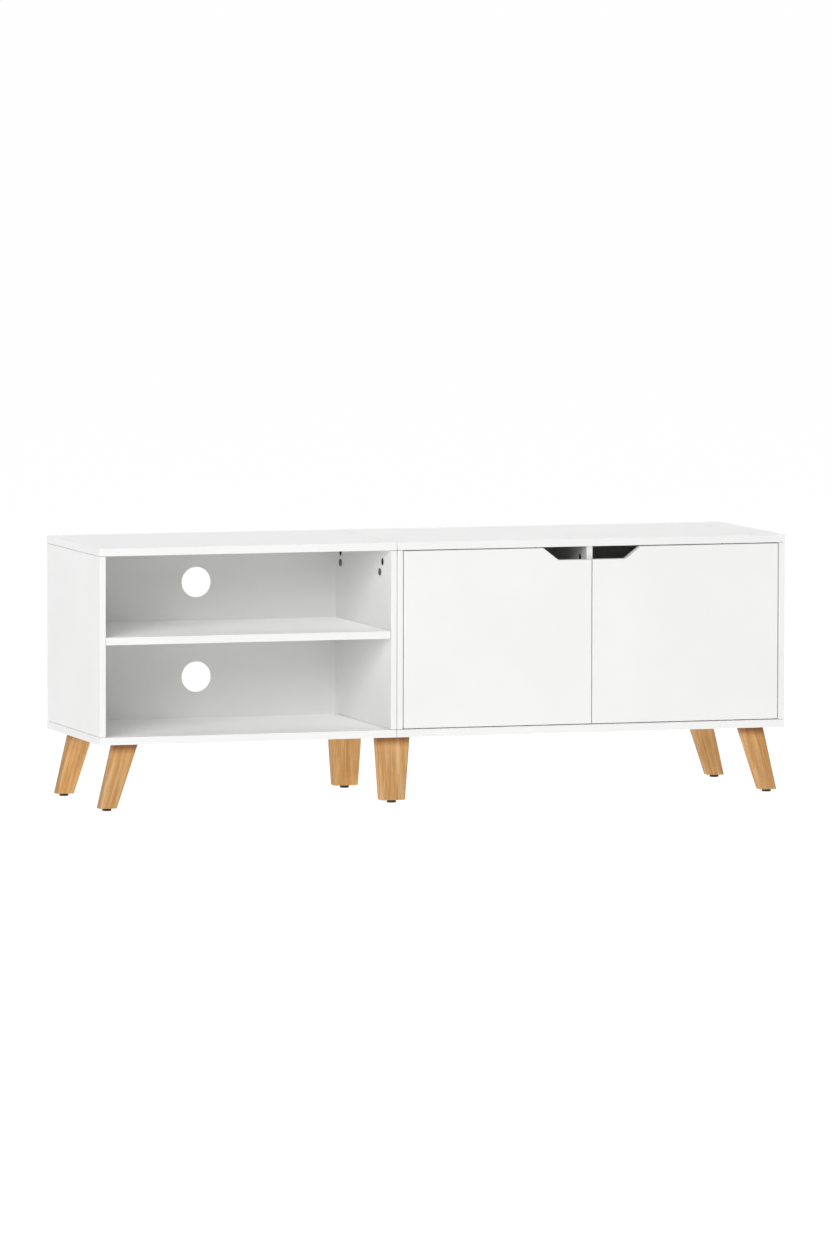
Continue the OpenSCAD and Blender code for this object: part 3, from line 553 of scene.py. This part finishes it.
def nickel_plate():
    """Nickel plating on pressed steel: a warm bright grey.
    It gives soft reflections with the faint drag marks of the press tool."""
    material, tree, shader, where = blank("nickel_plated_pressed_steel")
    drag = add(tree, "ShaderNodeMapping", {"Vector": where, "Scale": (1.0, 1.0, 0.1)})
    marks = add(tree, "ShaderNodeTexNoise",
                {"Vector": drag.outputs["Vector"], "Scale": 900.0, "Detail": 3.0})
    dull = add(tree, "ShaderNodeMapRange",
               {"Value": marks.outputs["Fac"], "From Min": 0.3, "From Max": 0.7,
                "To Min": 0.27, "To Max": 0.34})
    tree.links.new(dull.outputs["Result"], shader.inputs["Roughness"])
    tint = add(tree, "ShaderNodeValToRGB", {"Fac": marks.outputs["Fac"]},
               stops=((0.3, "#cac7c2"), (0.7, "#c3c0bb")))
    tree.links.new(tint.outputs["Color"], shader.inputs["Base Color"])
    relief = add(tree, "ShaderNodeBump",
                 {"Height": marks.outputs["Fac"], "Strength": 0.04, "Distance": 0.00005})
    tree.links.new(relief.outputs["Normal"], shader.inputs["Normal"])
    shader.inputs["Metallic"].default_value = 1.0
    return material


nickel = nickel_plate()
for side in ("left", "right"):
    for level in ("upper", "lower"):
        hinge = side + "_" + level
        for part, body in (("cup", side + "_door"), ("arm", "cabinet"), ("plate", "cabinet")):
            node = hinge + "_" + part
            skin = reskin(node)
            ease(skin, crisp_edges(skin), PRESSED_ARRIS, segments=2)
            place(skin, hinge + "_hinge_" + part, [nickel], body, "nickel_hinge", node)


# ---------------------------------------------------------------- fittings
# Cam locks cast in zinc, blued connector bolts, zinc-plated sleeves, screws and inserts, leg bolts
# with white heads, beech dowels glued in their bores, and clear pads that the doors close against.


def cast_zinc():
    """Zinc die casting, painted nearly black as the shade inside the cam bores: dull and slightly
    grainy.
    """
    material, tree, shader, where = blank("zinc_casting_painted_black_shade")
    grain = add(tree, "ShaderNodeTexNoise", {"Vector": where, "Scale": 1400.0, "Detail": 3.0})
    # Painted shade: the near-black colour stands in for the shade in the bores around the cams
    tint = add(tree, "ShaderNodeValToRGB", {"Fac": grain.outputs["Fac"]},
               stops=((0.35, "#0a0a0b"), (0.7, "#1a1a1c")))
    tree.links.new(tint.outputs["Color"], shader.inputs["Base Color"])
    relief = add(tree, "ShaderNodeBump",
                 {"Height": grain.outputs["Fac"], "Strength": 0.4, "Distance": 0.0001})
    tree.links.new(relief.outputs["Normal"], shader.inputs["Normal"])
    shader.inputs["Roughness"].default_value = 0.75
    shader.inputs["Specular IOR Level"].default_value = 0.2
    return material


def blued_steel():
    """Steel blued in hot salts: a dark grey with cloudy gloss."""
    material, tree, shader, where = blank("blued_steel")
    cloud = add(tree, "ShaderNodeTexNoise", {"Vector": where, "Scale": 600.0, "Detail": 3.0})
    tint = add(tree, "ShaderNodeValToRGB", {"Fac": cloud.outputs["Fac"]},
               stops=((0.3, "#5d5f62"), (0.7, "#7b7d80")))
    tree.links.new(tint.outputs["Color"], shader.inputs["Base Color"])
    dull = add(tree, "ShaderNodeMapRange",
               {"Value": cloud.outputs["Fac"], "From Min": 0.3, "From Max": 0.7,
                "To Min": 0.3, "To Max": 0.45})
    tree.links.new(dull.outputs["Result"], shader.inputs["Roughness"])
    shader.inputs["Metallic"].default_value = 1.0
    return material


def zinc_plate():
    """Bright zinc plating on cold-headed steel: cool grey with a bluish cloud."""
    material, tree, shader, where = blank("zinc_plated_steel")
    cloud = add(tree, "ShaderNodeTexNoise", {"Vector": where, "Scale": 500.0, "Detail": 3.0})
    tint = add(tree, "ShaderNodeValToRGB", {"Fac": cloud.outputs["Fac"]},
               stops=((0.3, "#a9adb2"), (0.7, "#bdbfc2")))
    tree.links.new(tint.outputs["Color"], shader.inputs["Base Color"])
    dull = add(tree, "ShaderNodeMapRange",
               {"Value": cloud.outputs["Fac"], "From Min": 0.3, "From Max": 0.7,
                "To Min": 0.28, "To Max": 0.42})
    tree.links.new(dull.outputs["Result"], shader.inputs["Roughness"])
    shader.inputs["Metallic"].default_value = 1.0
    return material


def fluted_beech():
    """Beech dowel rod: pale pinkish wood with short fine flecks along it."""
    material, tree, shader, where = blank("beech_dowel_rod")
    long_way = add(tree, "ShaderNodeMapping", {"Vector": where, "Scale": (1.0, 1.0, 0.15)})
    flecks = add(tree, "ShaderNodeTexNoise",
                 {"Vector": long_way.outputs["Vector"], "Scale": 1200.0, "Detail": 3.0})
    tint = add(tree, "ShaderNodeValToRGB", {"Fac": flecks.outputs["Fac"]},
               stops=((0.3, "#c79e72"), (0.7, "#e2c39a")))
    tree.links.new(tint.outputs["Color"], shader.inputs["Base Color"])
    relief = add(tree, "ShaderNodeBump",
                 {"Height": flecks.outputs["Fac"], "Strength": 0.3, "Distance": 0.0001})
    tree.links.new(relief.outputs["Normal"], shader.inputs["Normal"])
    shader.inputs["Roughness"].default_value = 0.7
    return material


def white_enamel():
    """White stove enamel on steel bolt heads: smooth and glossy, with slight orange peel."""
    material, tree, shader, where = blank("white_stove_enamel")
    flow = add(tree, "ShaderNodeTexNoise", {"Vector": where, "Scale": 300.0, "Detail": 2.0})
    tint = add(tree, "ShaderNodeValToRGB", {"Fac": flow.outputs["Fac"]},
               stops=((0.3, "#eeeeec"), (0.7, "#f3f3f2")))
    tree.links.new(tint.outputs["Color"], shader.inputs["Base Color"])
    relief = add(tree, "ShaderNodeBump",
                 {"Height": flow.outputs["Fac"], "Strength": 0.15, "Distance": 0.0001})
    tree.links.new(relief.outputs["Normal"], shader.inputs["Normal"])
    shader.inputs["Roughness"].default_value = 0.3
    return material


def clear_rubber():
    """Cast polyurethane pad: clear and slightly milky, with a soft domed gloss."""
    material, tree, shader, where = blank("clear_polyurethane_pad")
    haze = add(tree, "ShaderNodeTexNoise", {"Vector": where, "Scale": 700.0, "Detail": 2.0})
    dull = add(tree, "ShaderNodeMapRange",
               {"Value": haze.outputs["Fac"], "From Min": 0.3, "From Max": 0.7,
                "To Min": 0.12, "To Max": 0.28})
    tree.links.new(dull.outputs["Result"], shader.inputs["Roughness"])
    shader.inputs["Base Color"].default_value = paint("#eef1f1")
    shader.inputs["Transmission Weight"].default_value = 0.85
    shader.inputs["IOR"].default_value = 1.5
    return material


zinc = zinc_plate()
for name, node, material, width in (
    ("cam_lock_set", "cam_locks", cast_zinc(), 0.0003),
    ("connector_bolt_set", "connector_bolts", blued_steel(), 0.0004),
    ("connector_sleeve_set", "connector_sleeves", zinc, 0.0004),
):
    skin = reskin(node)
    ease(skin, crisp_edges(skin), width, segments=2)
    place(skin, name, [material], "cabinet", "zinc_fastener", node)

for node in ("base_screws", "leg_inserts", "plate_screws", "arm_screws",
             "left_hinge_pins", "right_hinge_pins", "left_cup_screws", "right_cup_screws"):
    finish_node(node, zinc)
finish_node("dowels", fluted_beech())
finish_node("leg_bolts", white_enamel())
finish_node("door_stop_pads", clear_rubber())


# ---------------------------------------------------------------- floor, light and camera
# A white studio: lit paper on the floor that runs out of sight, a dim white room above it, two
# softboxes in front on the left and one overhead, and a long lens 18 m away.

SWEEP_RADIUS = 180.0
SWEEP_WALL = 22.0
ROOM_WHITE = 0.02
PAPER_GLOW = 0.99

paper, paper_tree, paper_shader, paper_place = blank("white_paper_sweep")
tooth = add(paper_tree, "ShaderNodeTexNoise", {"Vector": paper_place, "Scale": 3.0, "Detail": 2.0})
paper_tint = add(paper_tree, "ShaderNodeValToRGB", {"Fac": tooth.outputs["Fac"]},
                 stops=((0.3, "#505050"), (0.7, "#525252")))
paper_tree.links.new(paper_tint.outputs["Color"], paper_shader.inputs["Base Color"])
paper_shader.inputs["Roughness"].default_value = 0.9
paper_shader.inputs["Specular IOR Level"].default_value = 0.0
paper_shader.inputs["Emission Color"].default_value = (1.0, 1.0, 1.0, 1.0)
paper_shader.inputs["Emission Strength"].default_value = PAPER_GLOW

sweep = bmesh.new()
bmesh.ops.create_circle(sweep, cap_ends=True, segments=48, radius=SWEEP_RADIUS)
raised = bmesh.ops.extrude_edge_only(sweep, edges=list(sweep.edges))["geom"]
bmesh.ops.translate(sweep, vec=(0.0, 0.0, SWEEP_WALL),
                    verts=[part for part in raised if isinstance(part, bmesh.types.BMVert)])
# Every face of the paper looks up or inwards
turned_away = [face for face in sweep.faces
               if face.normal.z < -0.5 or face.normal.dot(face.calc_center_median()) > 0.5]
bmesh.ops.reverse_faces(sweep, faces=turned_away)
sweep_mesh = bpy.data.meshes.new("paper_sweep")
sweep.to_mesh(sweep_mesh)
sweep.free()
sweep_mesh.materials.append(paper)
floor = bpy.data.objects.new("paper_sweep", sweep_mesh)
bpy.context.scene.collection.objects.link(floor)

room = bpy.data.worlds.new("white_room")
room.use_nodes = True
room.node_tree.nodes["Background"].inputs["Color"].default_value = (1.0, 1.0, 1.0, 1.0)
room.node_tree.nodes["Background"].inputs["Strength"].default_value = ROOM_WHITE
bpy.context.scene.world = room
bpy.context.scene.view_settings.view_transform = "Standard"

# Softbox, width, depth, power, place and the point it faces
SOFTBOXES = (
    ("key_softbox", 4.8, 4.8, 455.0, (-4.7, -10.08, 4.8), (0.0, 0.0, 0.3)),
    ("side_softbox", 4.8, 4.8, 325.0, (-8.27, -8.27, 3.0), (0.0, 0.0, 0.3)),
    ("overhead_softbox", 2.8, 1.4, 100.0, (0.25, 0.65, 3.4), (0.25, 0.1, 0.5)),
)
for name, width, depth, power, place_of_light, target in SOFTBOXES:
    lamp = bpy.data.lights.new(name, "AREA")
    lamp.shape = "RECTANGLE"
    lamp.size = width
    lamp.size_y = depth
    lamp.energy = power
    softbox = bpy.data.objects.new(name, lamp)
    softbox.location = place_of_light
    facing = Vector(target) - Vector(place_of_light)
    softbox.rotation_euler = facing.to_track_quat("-Z", "Y").to_euler()
    softbox.visible_camera = False
    bpy.context.scene.collection.objects.link(softbox)

CAMERA_PLACE = Vector((-5.548, -17.399, 1.799))
TURN, TILT, ROLL = (math.radians(a) for a in (17.683, 4.585, 0.102))
ahead = Vector((math.sin(TURN) * math.cos(TILT), math.cos(TURN) * math.cos(TILT), -math.sin(TILT)))
level = Vector((math.cos(TURN), -math.sin(TURN), 0.0))
up = level.cross(ahead)
right = math.cos(ROLL) * level + math.sin(ROLL) * up
above = right.cross(ahead)

lens = bpy.data.cameras.new("long_lens")
lens.sensor_width = 36.0
lens.lens = 268.8
lens.clip_end = 600.0
camera = bpy.data.objects.new("camera", lens)
turned = Matrix((right, above, -ahead)).transposed().to_4x4()
camera.matrix_world = Matrix.Translation(CAMERA_PLACE) @ turned
bpy.context.scene.collection.objects.link(camera)
bpy.context.scene.camera = camera
